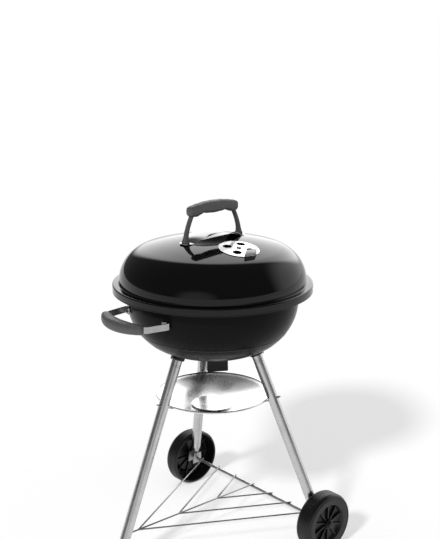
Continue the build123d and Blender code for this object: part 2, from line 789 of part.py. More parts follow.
def axle_bracket(azimuth):
    """A U of sheet steel, open to the front, that follows the leg's lean and carries the axle."""
    foot = around(leg_reach(bracket_low), azimuth, bracket_low)
    lean = leg_plane(azimuth, bracket_low).z_dir
    with BuildPart() as bracket:
        with BuildSketch(Plane(origin=foot)):
            Rectangle(bracket_gap + 2 * bracket_sheet, bracket_depth)
            with Locations((0, -bracket_sheet)):
                Rectangle(bracket_gap, bracket_depth, mode=Mode.SUBTRACT)
        extrude(amount=leg_run(bracket_low, bracket_high), dir=lean)
        with BuildSketch(Plane(origin=(foot.X - 40, axle_y, axle_height), z_dir=(1, 0, 0))):
            Circle(axle_radius)
        extrude(amount=80, mode=Mode.SUBTRACT)
    return bracket.part


for name, azimuth in (("left", left_azimuth), ("right", right_azimuth)):
    leg = wheel_leg(azimuth)
    leg.label = name + "_leg"
    export_step(leg, "parts/" + name + "_leg.step")
    bracket = axle_bracket(azimuth)
    bracket.label = name + "_axle_bracket"
    export_step(bracket, "parts/" + name + "_axle_bracket.step")

# ---- axle and wheels ----
hub_radius = 12.0
hub_inner = 256.2
hub_outer = 278.0
washer_sheet = 1.2
washer_radius = 9.0
axle_end = hub_outer + 4.0
cap_height = 5.5


def axle_plane(side, reach):
    """A plane square to the axle at a distance from the grill's middle plane, its z outward."""
    return Plane(origin=(side * reach, axle_y, axle_height), x_dir=(0, 1, 0), z_dir=(side, 0, 0))


with BuildPart() as axle:
    with BuildSketch(axle_plane(1, 0)):
        Circle(axle_radius)
    extrude(amount=axle_end, both=True)
axle.part.label = "axle"
export_step(axle.part, "parts/axle.step")

with BuildPart() as axle_washers:
    for side in (-1, 1):
        with BuildSketch(axle_plane(side, hub_inner - body_gap - washer_sheet)):
            Circle(washer_radius)
            Circle(axle_radius, mode=Mode.SUBTRACT)
        extrude(amount=washer_sheet)
axle_washers.part.label = "axle_washers"
export_step(axle_washers.part, "parts/axle_washers.step")

with BuildPart() as axle_caps:
    for side in (-1, 1):
        with BuildSketch(axle_plane(side, hub_outer + body_gap)):
            Circle(washer_radius)
        extrude(amount=cap_height)
    fillet(axle_caps.faces().group_by(Axis.X)[0].edges(), 3)
    fillet(axle_caps.faces().group_by(Axis.X)[-1].edges(), 3)
    add(axle.part, mode=Mode.SUBTRACT)
axle_caps.part.label = "axle_caps"
export_step(axle_caps.part, "parts/axle_caps.step")

# Wheel: a tyre-shaped rim, hollow on its inner side, a spoked dish on its outer side and a long hub.
rim_wall = 8.0
dish_inner = 262.0
dish_sheet = 4.0
dish_radius = 44.0
spoke_sheet = 3.0
spoke_depth = 6.0
rib_sheet = 3.0
rim_inner_radius = wheel_radius - rim_wall


def wheel(side):
    """A moulded wheel, drawn as radius from the axle against distance from the grill's middle plane."""
    across = Plane(origin=(0, axle_y, axle_height), x_dir=(0, 0, 1), z_dir=(0, side, 0))
    with BuildPart() as body:
        with BuildSketch(across):
            with BuildLine():
                FilletPolyline(
                    (rim_inner_radius, wheel_inner),
                    (wheel_radius - 3, wheel_inner),
                    (wheel_radius, wheel_inner + 8),
                    (wheel_radius, wheel_outer - 10),
                    (wheel_radius - 5, wheel_outer),
                    (dish_radius + 4, wheel_outer),
                    (dish_radius, dish_inner + dish_sheet),
                    (hub_radius, dish_inner + dish_sheet),
                    (hub_radius, dish_inner),
                    (dish_radius, dish_inner),
                    (dish_radius + 6, wheel_outer - dish_sheet),
                    (rim_inner_radius, wheel_outer - dish_sheet),
                    radius=[2, 3, 5, 3, 2, 1, 0, 0, 2, 2],
                )
                Line((rim_inner_radius, wheel_inner), (rim_inner_radius, wheel_outer - dish_sheet))
            make_face()
            with BuildLine():
                Polyline(
                    (axle_radius + running_clearance, hub_inner), (hub_radius, hub_inner),
                    (hub_radius, hub_outer), (axle_radius + running_clearance, hub_outer), close=True,
                )
            make_face()
        revolve(axis=Axis((0, axle_y, axle_height), (side, 0, 0)))
        with BuildSketch(axle_plane(side, dish_inner + dish_sheet)):
            with PolarLocations((hub_radius + dish_radius) / 2, 10):
                Rectangle(dish_radius - hub_radius + 2, spoke_sheet)
        extrude(amount=spoke_depth)
        with BuildSketch(axle_plane(side, hub_inner + 1)):
            with PolarLocations((hub_radius + rim_inner_radius) / 2, 5):
                Rectangle(rim_inner_radius - hub_radius + 4, rib_sheet)
        extrude(amount=dish_inner - hub_inner - 0.5)
    return body.part


for name, side in (("left", -1), ("right", 1)):
    turned = wheel(side)
    turned.label = name + "_wheel"
    export_step(turned, "parts/" + name + "_wheel.step")

# ---- rack ----
# Welded rods in one plane on top of the axle: an outer V from the front leg, a middle rod and two chevrons.
rack_leg_reach = leg_reach(rack_height)
rack_front = rack_leg_reach - 36
rack_corner = rack_leg_reach * cos(radians(right_azimuth)) - 31
rack_overhang = 5.0
rack_depth = axle_offset + rack_front
rack_ends = [(Vector(0, 6 - rack_leg_reach), Vector(0, axle_offset + rack_overhang))]
for third in range(3):
    apex = Vector(0, -rack_front + third * rack_depth / 3)
    for side in (-1, 1):
        arm = Vector(side * rack_corner, rack_depth)
        length = arm.length * (3 - third) / 3 + rack_overhang
        rack_ends.append((apex, apex + arm.normalized() * length))
with BuildPart() as bottom_rack:
    for start, end in rack_ends:
        base = start + Vector(0, kettle_y, rack_height)
        with BuildSketch(Plane(origin=base, z_dir=end - start)):
            Circle(rack_wire / 2)
        extrude(amount=(end - start).length)
bottom_rack.part.label = "bottom_rack"
export_step(bottom_rack.part, "parts/bottom_rack.step")

# ---- ash pan ----
pan_sheet = 1.2
pan_bead = 2.2
pan_flat = 56.0
pan_flange = 131.0
pan_low = pan_rim_height - pan_depth


def pan_line(lift):
    """The pan's profile, lifted by the sheet's thickness for its inner skin."""
    low = pan_low + lift
    FilletPolyline((0, low + 2), (pan_flat - 3, low + 2), (pan_flat, low), radius=1.5)
    ThreePointArc((pan_flat, low), (pan_flat + 48, low + 9.5), (pan_flange, low + 30))
    Line((pan_flange, low + 30), (pan_radius - pan_bead, low + 33))


with BuildPart() as ash_pan:
    with BuildSketch(radial_plane(0)):
        with BuildLine():
            pan_line(0)
            pan_line(pan_sheet)
            Line((0, pan_low + 2), (0, pan_low + 2 + pan_sheet))
            Line((pan_radius - pan_bead, pan_low + 33), (pan_radius - pan_bead, pan_low + 33 + pan_sheet))
        make_face()
        with Locations((pan_radius - pan_bead, pan_rim_height)):
            Circle(pan_bead)
    revolve(axis=kettle_axis)
ash_pan.part.label = "ash_pan"
export_step(ash_pan.part, "parts/ash_pan.step")

# Spring wire clips: each loops round a leg and passes its two tails under the pan's flange.
clip_wire = 3.0
clip_height = 377.4
clip_half = leg_radius + clip_wire / 2 + 0.2
clip_tail = 24.0
clip_loop = 30.0
with BuildPart() as ash_pan_clips:
    for azimuth in leg_azimuths:
        with BuildLine(leg_plane(azimuth, clip_height)) as clip_path:
            FilletPolyline(
                (-clip_half + 5, clip_tail), (-clip_half, 10), (-clip_half, -clip_loop),
                (clip_half, -clip_loop), (clip_half, 10), (clip_half - 5, clip_tail),
                radius=[6, 12, 12, 6],
            )
        with BuildSketch(Plane(origin=clip_path.line @ 0, z_dir=clip_path.line % 0)):
            Circle(clip_wire / 2)
        sweep(path=clip_path.line)
ash_pan_clips.part.label = "ash_pan_clips"
export_step(ash_pan_clips.part, "parts/ash_pan_clips.step")

print("kettle axis stands", round(kettle_y, 3), "behind the origin; dome top", round(dome_top, 2))
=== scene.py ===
# Looks for a free-standing kettle charcoal grill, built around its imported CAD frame.
# Lengths are written in millimetres and turned into metres where a mesh is made.
import json
from math import atan, atan2, cos, degrees, hypot, pi, radians, sin, sqrt, tan

import bmesh
import bpy
from mathutils import Matrix, Vector


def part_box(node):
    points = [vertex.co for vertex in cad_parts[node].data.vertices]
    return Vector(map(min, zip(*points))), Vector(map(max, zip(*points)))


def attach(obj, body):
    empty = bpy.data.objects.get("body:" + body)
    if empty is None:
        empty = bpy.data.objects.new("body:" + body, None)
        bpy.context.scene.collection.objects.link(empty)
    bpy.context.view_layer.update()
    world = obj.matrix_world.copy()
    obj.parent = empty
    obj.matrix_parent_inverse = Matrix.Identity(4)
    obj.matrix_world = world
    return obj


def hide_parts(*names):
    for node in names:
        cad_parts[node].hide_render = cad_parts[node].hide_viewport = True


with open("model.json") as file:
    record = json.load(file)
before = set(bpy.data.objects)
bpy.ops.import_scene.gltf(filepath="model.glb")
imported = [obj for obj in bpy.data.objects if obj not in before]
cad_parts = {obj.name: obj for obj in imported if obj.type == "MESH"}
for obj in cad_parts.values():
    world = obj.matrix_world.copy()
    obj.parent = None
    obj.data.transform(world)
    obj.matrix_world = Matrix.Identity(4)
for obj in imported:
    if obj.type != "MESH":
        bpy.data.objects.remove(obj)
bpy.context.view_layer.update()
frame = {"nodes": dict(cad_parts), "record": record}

MM = 0.001

# ---- places taken from the frame ----
lid_low, lid_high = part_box("lid")
wheel_low, wheel_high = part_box("right_wheel")
kettle_y = (lid_low.y + lid_high.y) / 2 / MM
lip_radius = (lid_high.x - lid_low.x) / 2 / MM
lip_bottom = lid_low.z / MM
axle_y = (wheel_low.y + wheel_high.y) / 2 / MM
axle_z = (wheel_low.z + wheel_high.z) / 2 / MM
wheel_radius = (wheel_high.z - wheel_low.z) / 2 / MM
wheel_inner = wheel_low.x / MM

# ---- driving dimensions ----
sheet = 1.2
lip_top = 661.0
dome_base = 226.0
dome_shoulder = 84.0
dome_shoulder_z = 666.0
dome_crown = 600.0
bowl_radius = 208.0
bowl_shoulder = 132.0
bowl_shoulder_z = 621.0
bowl_floor = 380.0
bead_radius = 4.2
bead_reach = 231.5
bead_z = lip_top - sheet - 0.3 - bead_radius
leg_radius = 12.7
leg_wall = 1.5
leg_foot_reach = 305.5
leg_slope = 0.3986
leg_tilt = atan(leg_slope)
front, left, right = 270.0, 150.0, 30.0
wheel_outer = 276.0
grip_height = 841.0
handle_azimuth = 267.6
handle_z = 604.5
damper_azimuth = 355.0
damper_reach = 104.5
damper_radius = 48.0
vent_reach = 28.0                  # from the damper's centre to each of its four vents
handle_reach = 76.0                # from the lid's middle to each foot of the heat shield's arch
pressing_steps = 160               # segments round the lid and the bowl


# ================================ geometry helpers ================================
def around(reach, azimuth, height):
    """A point by its radius and azimuth about the kettle's axis, in millimetres."""
    a = radians(azimuth)
    return Vector((reach * cos(a), kettle_y + reach * sin(a), height))


def upright():
    """The kettle's own axes: z up from the ground under it."""
    return Matrix.Translation((0, kettle_y, 0))


def turned(azimuth):
    """The kettle's axes with x turned outward to an azimuth."""
    return upright() @ Matrix.Rotation(radians(azimuth), 4, "Z")


def leg_axes(azimuth, height):
    """Axes on a leg's centreline at a height: z up along the leg, x outward."""
    reach = leg_foot_reach - leg_slope * height
    lean = Matrix.Rotation(-leg_tilt, 4, "Y")
    return turned(azimuth) @ Matrix.Translation((reach, 0, height)) @ lean


def leg_run(low, high):
    """Length along a leg between two heights."""
    return (high - low) / cos(leg_tilt)


def axle_axes(side):
    """Axes on the axle's line: z outward along the axle from the grill's middle, x up."""
    across = Matrix(((0, 0, side), (0, side, 0), (1, 0, 0))).to_4x4()
    return Matrix.Translation((0, axle_y, axle_z)) @ across


def arc(centre, radius, start, end, steps):
    """Points of an arc in a profile, by angles in degrees."""
    out = []
    for i in range(steps + 1):
        a = radians(start + (end - start) * i / steps)
        out.append((centre[0] + radius * cos(a), centre[1] + radius * sin(a)))
    return out


def rounded(corners, closed=False, steps=6):
    """A path through corners, each (point..., radius), with every corner turned by an arc."""
    count = len(corners)
    points = [Vector(c[:-1]) for c in corners]
    out = []
    for i, corner in enumerate(corners):
        radius = corner[-1]
        at_end = not closed and i in (0, count - 1)
        if at_end or radius <= 0:
            out.append(points[i])
            continue
        back = (points[i - 1] - points[i]).normalized()
        ahead = (points[(i + 1) % count] - points[i]).normalized()
        half = back.angle(ahead) / 2
        if half > pi / 2 - 0.01:
            out.append(points[i])
            continue
        centre = points[i] + (back + ahead).normalized() * (radius / sin(half))
        first = points[i] + back * (radius / tan(half)) - centre
        last = points[i] + ahead * (radius / tan(half)) - centre
        for k in range(steps + 1):
            if len(first) == 3:
                spoke = first.slerp(last, k / steps)
            else:
                spoke = first.copy()
                spoke.rotate(Matrix.Rotation(-first.angle_signed(last) * k / steps, 2))
            out.append(centre + spoke)
    return out


def shade(bm, sharp):
    """Smooths every face and keeps edges crisp past an angle in degrees."""
    for face in bm.faces:
        face.smooth = True
    for edge in bm.edges:
        edge.smooth = len(edge.link_faces) == 2 and edge.calc_face_angle(0) < radians(sharp)


def finish_mesh(name, bm, sharp=32.0):
    """Turns a bmesh into an object with smooth faces and crisp edges past an angle."""
    bmesh.ops.remove_doubles(bm, verts=bm.verts, dist=1e-6)
    bmesh.ops.dissolve_degenerate(bm, edges=bm.edges, dist=1e-7)
    bmesh.ops.recalc_face_normals(bm, faces=bm.faces)
    shade(bm, sharp)
    mesh = bpy.data.meshes.new(name)
    bm.to_mesh(mesh)
    bm.free()
    piece = bpy.data.objects.new(name, mesh)
    bpy.context.scene.collection.objects.link(piece)
    return piece


def lathe_into(bm, profile, axes, steps):
    """Adds the solid swept by a closed profile of (radius, height) points turned about an axis."""
    rings = []
    for k in range(steps):
        turn = Matrix.Rotation(2 * pi * k / steps, 4, "Z")
        rings.append([bm.verts.new(axes @ turn @ Vector((p[0], 0, p[1])) * MM) for p in profile])
    count = len(profile)
    for k in range(steps):
        a, b = rings[k], rings[(k + 1) % steps]
        for i in range(count):
            j = (i + 1) % count
            if profile[i][0] < 1e-6 and profile[j][0] < 1e-6:
                continue
            bm.faces.new((a[i], b[i], b[j], a[j]))


def loft_into(bm, rings):
    """Adds a skin over rings of points in millimetres, closed at both ends."""
    made = [[bm.verts.new(Vector(p) * MM) for p in ring] for ring in rings]
    count = len(rings[0])
    for a, b in zip(made, made[1:]):
        for i in range(count):
            j = (i + 1) % count
            bm.faces.new((a[i], a[j], b[j], b[i]))
    bm.faces.new(made[0])
    bm.faces.new(made[-1][::-1])


def ring_on(origin, across, up, half_wide, half_high, power=2.0, steps=24):
    """A superellipse of points about an origin, in the plane of two unit vectors."""
    out = []
    for k in range(steps):
        a = 2 * pi * k / steps
        c, s = cos(a), sin(a)
        u = half_wide * abs(c) ** (2 / power) * (1 if c >= 0 else -1)
        v = half_high * abs(s) ** (2 / power) * (1 if s >= 0 else -1)
        out.append(origin + across * u + up * v)
    return out


def wire_into(bm, path, radius, steps=16):
    """Adds a round wire along a path of points in millimetres, with chamfered ends."""
    chamfer = radius * 0.3
    tip = radius - chamfer
    path = [Vector(p) for p in path]
    path = [p for i, p in enumerate(path) if i == 0 or (p - path[i - 1]).length > 1e-4]
    tangents = []
    for i, p in enumerate(path):
        ahead = path[min(i + 1, len(path) - 1)] - path[max(i - 1, 0)]
        tangents.append(ahead.normalized())
    normal = tangents[0].orthogonal().normalized()
    rings = []
    for i, p in enumerate(path):
        if i:
            normal = (normal - tangents[i] * normal.dot(tangents[i])).normalized()
        side = tangents[i].cross(normal)
        if i == 0:
            rings.append(ring_on(p, normal, side, tip, tip, steps=steps))
            p = p + tangents[0] * chamfer
        if i == len(path) - 1:
            inner = p - tangents[i] * chamfer
            rings.append(ring_on(inner, normal, side, radius, radius, steps=steps))
            rings.append(ring_on(p, normal, side, tip, tip, steps=steps))
        else:
            rings.append(ring_on(p, normal, side, radius, radius, steps=steps))
    loft_into(bm, rings)


def plate_into(bm, outline, axes, thickness):
    """Adds a flat plate: an outline of (x, y) points, with its thickness along z."""
    low = [bm.verts.new(axes @ Vector((p[0], p[1], 0)) * MM) for p in outline]
    high = [bm.verts.new(axes @ Vector((p[0], p[1], thickness)) * MM) for p in outline]
    bm.faces.new(low[::-1])
    bm.faces.new(high)
    for i in range(len(outline)):
        j = (i + 1) % len(outline)
        bm.faces.new((low[i], low[j], high[j], high[i]))


def apply_modifiers(piece):
    """Bakes a piece's modifiers into its mesh."""
    bpy.context.view_layer.update()
    evaluated = piece.evaluated_get(bpy.context.evaluated_depsgraph_get())
    mesh = bpy.data.meshes.new_from_object(evaluated)
    piece.modifiers.clear()
    piece.data = mesh
    return piece


def bevelled(piece, width, segments=3, angle=35.0):
    """Rounds a piece's sharp edges by a width in millimetres."""
    bevel = piece.modifiers.new("bevel", "BEVEL")
    bevel.width = width * MM
    bevel.segments = segments
    bevel.limit_method = "ANGLE"
    bevel.angle_limit = radians(angle)
    return apply_modifiers(piece)


def drilled(piece, holes, sharp=32.0):
    """Cuts holes, each (axes, outline, low, high), out of a piece."""
    bm = bmesh.new()
    for axes, outline, low, high in holes:
        plate_into(bm, outline, axes @ Matrix.Translation((0, 0, low)), high - low)
    cutter = finish_mesh(piece.name + "_cutter", bm)
    cut = piece.modifiers.new("cut", "BOOLEAN")
    cut.operation = "DIFFERENCE"
    cut.solver = "EXACT"
    cut.object = cutter
    apply_modifiers(piece)
    bpy.data.objects.remove(cutter)
    bm = bmesh.new()
    bm.from_mesh(piece.data)
    shade(bm, sharp)
    bm.to_mesh(piece.data)
    bm.free()
    return piece


def circle(radius, steps=32):
    """An outline of points round a circle."""
    return [(radius * cos(2 * pi * k / steps), radius * sin(2 * pi * k / steps)) for k in range(steps)]


def settle(piece, body, slot, material, *nodes):
    """Gives a finished piece its finish and its body, and hides the CAD nodes it stands for."""
    piece.data.materials.clear()
    piece.data.materials.append(material)
    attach(piece, body)
    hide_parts(*nodes)
    return piece


# ================================ materials ================================
def surface(name, colour, metallic, roughness, specular=0.5):
    """A new principled material and its node tree, colour and finish set on the shader's own sockets."""
    material = bpy.data.materials.new(name)
    material.use_nodes = True
    shader = material.node_tree.nodes["Principled BSDF"]
    shader.inputs["Base Color"].default_value = (*colour, 1)
    shader.inputs["Metallic"].default_value = metallic
    shader.inputs["Roughness"].default_value = roughness
    shader.inputs["Specular IOR Level"].default_value = specular
    return material, material.node_tree, shader


def noise(tree, scale, detail, stretch=(1, 1, 1)):
    """A noise pattern fixed to the object, stretched along its axes."""
    place = tree.nodes.new("ShaderNodeTexCoord")
    mapping = tree.nodes.new("ShaderNodeMapping")
    mapping.inputs["Scale"].default_value = stretch
    pattern = tree.nodes.new("ShaderNodeTexNoise")
    pattern.inputs["Scale"].default_value = scale
    pattern.inputs["Detail"].default_value = detail
    tree.links.new(place.outputs["Object"], mapping.inputs["Vector"])
    tree.links.new(mapping.outputs["Vector"], pattern.inputs["Vector"])
    return pattern.outputs["Fac"]


pattern_low, pattern_high = 0.3, 0.7    # where a noise pattern's values mostly lie


def spread(tree, value, low, high):
    """Maps a pattern to a range of values."""
    ramp = tree.nodes.new("ShaderNodeMapRange")
    ramp.inputs["From Min"].default_value = pattern_low
    ramp.inputs["From Max"].default_value = pattern_high
    ramp.inputs["To Min"].default_value = low
    ramp.inputs["To Max"].default_value = high
    tree.links.new(value, ramp.inputs["Value"])
    return ramp.outputs["Result"]


def tint(tree, value, dark, light):
    """Mixes two colours by a pattern."""
    ramp = tree.nodes.new("ShaderNodeValToRGB")
    ramp.color_ramp.elements[0].position = pattern_low
    ramp.color_ramp.elements[1].position = pattern_high
    ramp.color_ramp.elements[0].color = (*dark, 1)
    ramp.color_ramp.elements[1].color = (*light, 1)
    tree.links.new(value, ramp.inputs["Fac"])
    return ramp.outputs["Color"]


def bump(tree, shader, value, strength, distance_mm):
    """Raises the surface by a pattern."""
    node = tree.nodes.new("ShaderNodeBump")
    node.inputs["Strength"].default_value = strength
    node.inputs["Distance"].default_value = distance_mm * MM
    tree.links.new(value, node.inputs["Height"])
    tree.links.new(node.outputs["Normal"], shader.inputs["Normal"])


def enamel(name, colour, roughness, specular):
    """Vitreous enamel: near-black glass with faint orange peel and cloudy patches of gloss."""
    material, tree, shader = surface(name, colour, 0.0, roughness, specular)
    peel = noise(tree, 190.0, 2.0)
    bump(tree, shader, peel, 0.05, 0.05)
    cloud = noise(tree, 14.0, 4.0)
    tree.links.new(spread(tree, cloud, roughness * 0.8, roughness * 1.3), shader.inputs["Roughness"])
    dark = tuple(c * 0.8 for c in colour)
    light = tuple(c * 1.25 for c in colour)
    tree.links.new(tint(tree, noise(tree, 420.0, 5.0), dark, light), shader.inputs["Base Color"])
    return material


def metal(name, colour, roughness, grain, grain_scale, stretch=(1, 1, 1), depth=0.02):
    """Bare or plated metal: fine grain along one way, patchy gloss and slight tarnish."""
    material, tree, shader = surface(name, colour, 1.0, roughness)
    lines = noise(tree, grain_scale, 4.0, stretch)
    bump(tree, shader, lines, grain, depth)
    patch = noise(tree, 22.0, 3.0)
    tree.links.new(spread(tree, patch, roughness * 0.75, roughness * 1.35), shader.inputs["Roughness"])
    dark = tuple(c * 0.9 for c in colour)
    light = tuple(min(1.0, c * 1.05) for c in colour)
    tree.links.new(tint(tree, noise(tree, 35.0, 4.0), dark, light), shader.inputs["Base Color"])
    return material


def plastic(name, colour, roughness, pebble):
    """Moulded plastic: fine pebbled grain, rubbed a little glossier in patches."""
    material, tree, shader = surface(name, colour, 0.0, roughness, 0.4)
    bump(tree, shader, noise(tree, 520.0, 2.0), pebble, 0.06)
    rub = noise(tree, 26.0, 4.0)
    tree.links.new(spread(tree, rub, roughness * 0.85, roughness * 1.15), shader.inputs["Roughness"])
    dark = tuple(c * 0.88 for c in colour)
    light = tuple(c * 1.12 for c in colour)
    tree.links.new(tint(tree, noise(tree, 260.0, 5.0), dark, light), shader.inputs["Base Color"])
    return material


lid_enamel = enamel("lid_enamel", (0.0018, 0.0018, 0.0019), 0.06, 0.27)
bowl_enamel = enamel("bowl_enamel", (0.005, 0.005, 0.0051), 0.25, 0.06)
socket_paint = enamel("socket_paint", (0.008, 0.008, 0.008), 0.35, 0.3)
tube_plating = metal("tube_plating", (0.56, 0.56, 0.57), 0.24, 0.12, 500.0, (1, 1, 0.04), 0.01)
wire_plating = metal("wire_plating", (0.3, 0.3, 0.305), 0.26, 0.08, 300.0)
zinc = metal("zinc", (0.4, 0.4, 0.41), 0.36, 0.12, 240.0)
iron_rod = metal("iron_rod", (0.16, 0.15, 0.145), 0.5, 0.3, 400.0, depth=0.05)
spun_aluminium = metal("spun_aluminium", (0.8, 0.8, 0.81), 0.27, 0.06, 160.0)
brushed_aluminium = metal("brushed_aluminium", (0.42, 0.42, 0.425), 0.34, 0.15, 500.0, (1, 1, 0.05), 0.01)
bright_chrome = metal("bright_chrome", (0.36, 0.36, 0.365), 0.12, 0.03, 120.0)
grip_plastic = plastic("grip_plastic", (0.075, 0.075, 0.077), 0.5, 0.05)
wheel_plastic = plastic("wheel_plastic", (0.0035, 0.0035, 0.0037), 0.4, 0.06)
foot_plastic = plastic("foot_plastic", (0.004, 0.004, 0.0042), 0.48, 0.06)

slot_material = {
    "lid_enamel": lid_enamel, "bowl_enamel": bowl_enamel, "socket_enamel": socket_paint,
    "plated_tube": tube_plating, "plated_wire": wire_plating, "zinc_steel": zinc,
    "charcoal_wire": iron_rod, "polished_aluminium": spun_aluminium, "heat_shield_chrome": bright_chrome,
    "grip_plastic": grip_plastic, "wheel_plastic": wheel_plastic, "foot_plastic": foot_plastic,
}
for entry in frame["record"]["subparts"]:
    node = frame["nodes"][entry["node"]]
    node.data.materials.clear()
    node.data.materials.append(slot_material[entry["material_slot"]])


# ================================ lid ================================
crown_centre = dome_shoulder_z - sqrt(
    (dome_crown - dome_shoulder) ** 2 - (dome_base - dome_shoulder) ** 2
)


def crown_height(reach):
    """Height of the lid's outer skin over its crown."""
    return crown_centre + sqrt(dome_crown**2 - reach**2)


def dome_profile(inset):
    """The lid's skin from the crown to the foot of the dome, inset from the outside."""
    hub = dome_base - dome_shoulder
    lean = degrees(atan2(hub, dome_shoulder_z - crown_centre))
    crown = arc((0, crown_centre), dome_crown - inset, 90, 90 - lean, 26)
    shoulder = arc((hub, dome_shoulder_z), dome_shoulder - inset, 90 - lean, 0, 34)
    return crown + shoulder[1:]


def make_lid():
    """Domed skin with a flat ledge, a skirt and a thickened, grooved hem round its foot."""
    hem = lip_radius - 1.9
    join = lip_top + 4
    lip = rounded([
        (dome_base, join, 0), (dome_base, lip_top, 2.2), (lip_radius, lip_top, 3.5),
        (lip_radius, lip_bottom + 3.2, 0.6), (lip_radius - 0.5, lip_bottom + 2.6, 0.6),
        (lip_radius, lip_bottom + 2.0, 0.6), (lip_radius, lip_bottom, 0.5), (hem, lip_bottom, 0.5),
        (hem, lip_bottom + 3.5, 0.6), (lip_radius - sheet, lip_bottom + 4.5, 1),
        (lip_radius - sheet, lip_top - sheet, 2.2), (dome_base - sheet, lip_top - sheet, 3.4),
        (dome_base - sheet, join, 0),
    ])
    profile = dome_profile(0) + lip + dome_profile(sheet)[::-1]
    bm = bmesh.new()
    lathe_into(bm, profile, upright(), pressing_steps)
    lid = finish_mesh("lid_shell", bm, 25)
    drilled(lid, vents(10.0), 25)
    settle(lid, "lid", "lid_enamel", lid_enamel, "lid")


def damper_axes():
    """Axes on the lid's crown under the damper: z out of the crown, y towards the lid's middle."""
    seat = around(damper_reach, damper_azimuth, crown_height(damper_reach))
    out = (seat - Vector((0, kettle_y, crown_centre))).normalized()
    a = radians(damper_azimuth)
    along = Vector((-sin(a), cos(a), 0))
    inward = out.cross(along)
    turn = Matrix((along, inward, out)).transposed().to_4x4()
    return Matrix.Translation(seat) @ turn


def vents(radius):
    """The four round vents under the damper, as holes to drill through the sheet there."""
    holes = []
    for k in range(4):
        spot = Matrix.Rotation(radians(45 + 90 * k), 4, "Z") @ Matrix.Translation((vent_reach, 0, 0))
        holes.append((damper_axes() @ spot, circle(radius), -8, 8))
    return holes


def make_damper():
    """Disc curved to the crown, with four vents and a thumb tab bent up at its outer edge."""
    plate, gap = 1.2, 0.3
    outer = dome_crown + gap + plate
    lean = degrees(atan(damper_radius / dome_crown))
    top = arc((0, -dome_crown), outer, 90, 90 - lean, 14)
    low = arc((0, -dome_crown), dome_crown + gap, 90 - lean, 90, 14)
    bm = bmesh.new()
    lathe_into(bm, top + low, damper_axes(), 96)
    disc = finish_mesh("damper_disc", bm)
    drilled(disc, vents(10.5))
    bevelled(disc, 0.25, 2, 50)
    settle(disc, "lid_damper", "polished_aluminium", spun_aluminium, "lid_damper")
    half, taper, tall, root, sunk = 17.0, 1.5, 15.6, 44.2, 1.4
    outline = rounded([
        (-half, 0, 0), (half, 0, 0), (half - taper, tall, 5), (taper - half, tall, 5)
    ], True)
    stand = Matrix.Translation((0, -root, -sunk)) @ Matrix.Rotation(radians(90), 4, "X")
    bm = bmesh.new()
    plate_into(bm, outline, damper_axes() @ stand, plate)
    tab = bevelled(finish_mesh("damper_tab", bm), 0.35, 3)
    settle(tab, "lid_damper", "polished_aluminium", spun_aluminium)


def make_damper_rivet():
    """Rivet that the damper turns on, with a domed head above and a flat one under the lid."""
    profile = rounded([
        (0, -4, 0), (5, -4, 0.6), (5, -2, 0.5), (2.9, -1.8, 0.1), (2.9, 1.8, 0.1), (6, 1.8, 0.3),
        (6, 2.6, 1.2), (3.5, 4.1, 1.5), (0, 4.3, 0),
    ])
    bm = bmesh.new()
    lathe_into(bm, profile, damper_axes(), 28)
    settle(finish_mesh("damper_rivet", bm), "lid", "zinc_steel", zinc, "lid_damper_rivet")


def make_shield():
    """Bright arched sheet, widest in the middle and slightly rolled down along its long edges."""
    seat = crown_height(handle_reach) + 0.1
    rise, foot, end = 24.0, handle_reach, 95.0
    radius = (foot**2 + rise**2) / (2 * rise)
    rows, columns = 72, 20
    middle, tip, plate = 33.5, 12.5, 1.0
    blunt_length, blunt_width = 8.0, 0.62       # how far and how narrow the rounded ends draw in
    roll, roll_fade = 3.6, 40.0                 # drop of the long edges, fading out this far before each foot

    def height(s):
        if abs(s) > foot:
            return seat
        return seat + rise - radius + sqrt(radius**2 - s * s)

    def half_width(s):
        bow = 1 - (s / end) ** 2
        return tip + (middle - tip) * bow

    rings = []
    for i in range(rows + 1):
        s = -end + 2 * end * i / rows
        blunt = min(1.0, (end - abs(s)) / blunt_length)
        full = sqrt(max(0.0, 1 - (1 - blunt) ** 2))
        wide = half_width(s) * (blunt_width + (1 - blunt_width) * full)
        top, low = [], []
        for k in range(columns + 1):
            t = -1 + 2 * k / columns
            fall = roll * t * t * min(1.0, max(0.0, (foot - abs(s)) / roll_fade))
            top.append(Vector((t * wide, s + kettle_y, height(s) + plate - fall)))
            low.append(Vector((t * wide, s + kettle_y, height(s) - fall)))
        rings.append(top + low[::-1])
    bm = bmesh.new()
    loft_into(bm, rings)
    settle(finish_mesh("shield_sheet", bm, 40), "lid", "heat_shield_chrome", bright_chrome, "heat_shield")


def make_handle_arms():
    """Two bowed arms that run from a foot on the shield up into the grip."""
    foot = crown_height(handle_reach) + 1.1
    # each station: reach from the middle, height over the foot, half depth and half width
    stations = [
        (83.5, 0, 7.6, 8.5), (83.5, 3.0, 7.6, 8.5), (83.0, 6.0, 6.0, 7.4), (82.2, 14, 5.0, 6.0),
        (80.2, 24, 4.7, 5.5), (76.6, 36, 4.6, 5.3), (71.8, 48, 4.6, 5.3), (66.6, 59, 4.6, 5.3),
        (62.5, 69, 4.6, 5.3),
    ]
    for side, word in ((-1, "front"), (1, "back")):
        rings = []
        for reach, up, half_s, half_x in stations:
            spot = Vector((0, kettle_y + side * reach, foot + up))
            rings.append(ring_on(spot, Vector((1, 0, 0)), Vector((0, side, 0)), half_x, half_s, 4.0, 28))
        bm = bmesh.new()
        loft_into(bm, rings)
        arm = finish_mesh("handle_arm_" + word, bm, 50)
        nodes = ("lid_handle_arms",) if side == -1 else ()
        settle(arm, "lid", "grip_plastic", grip_plastic, *nodes)


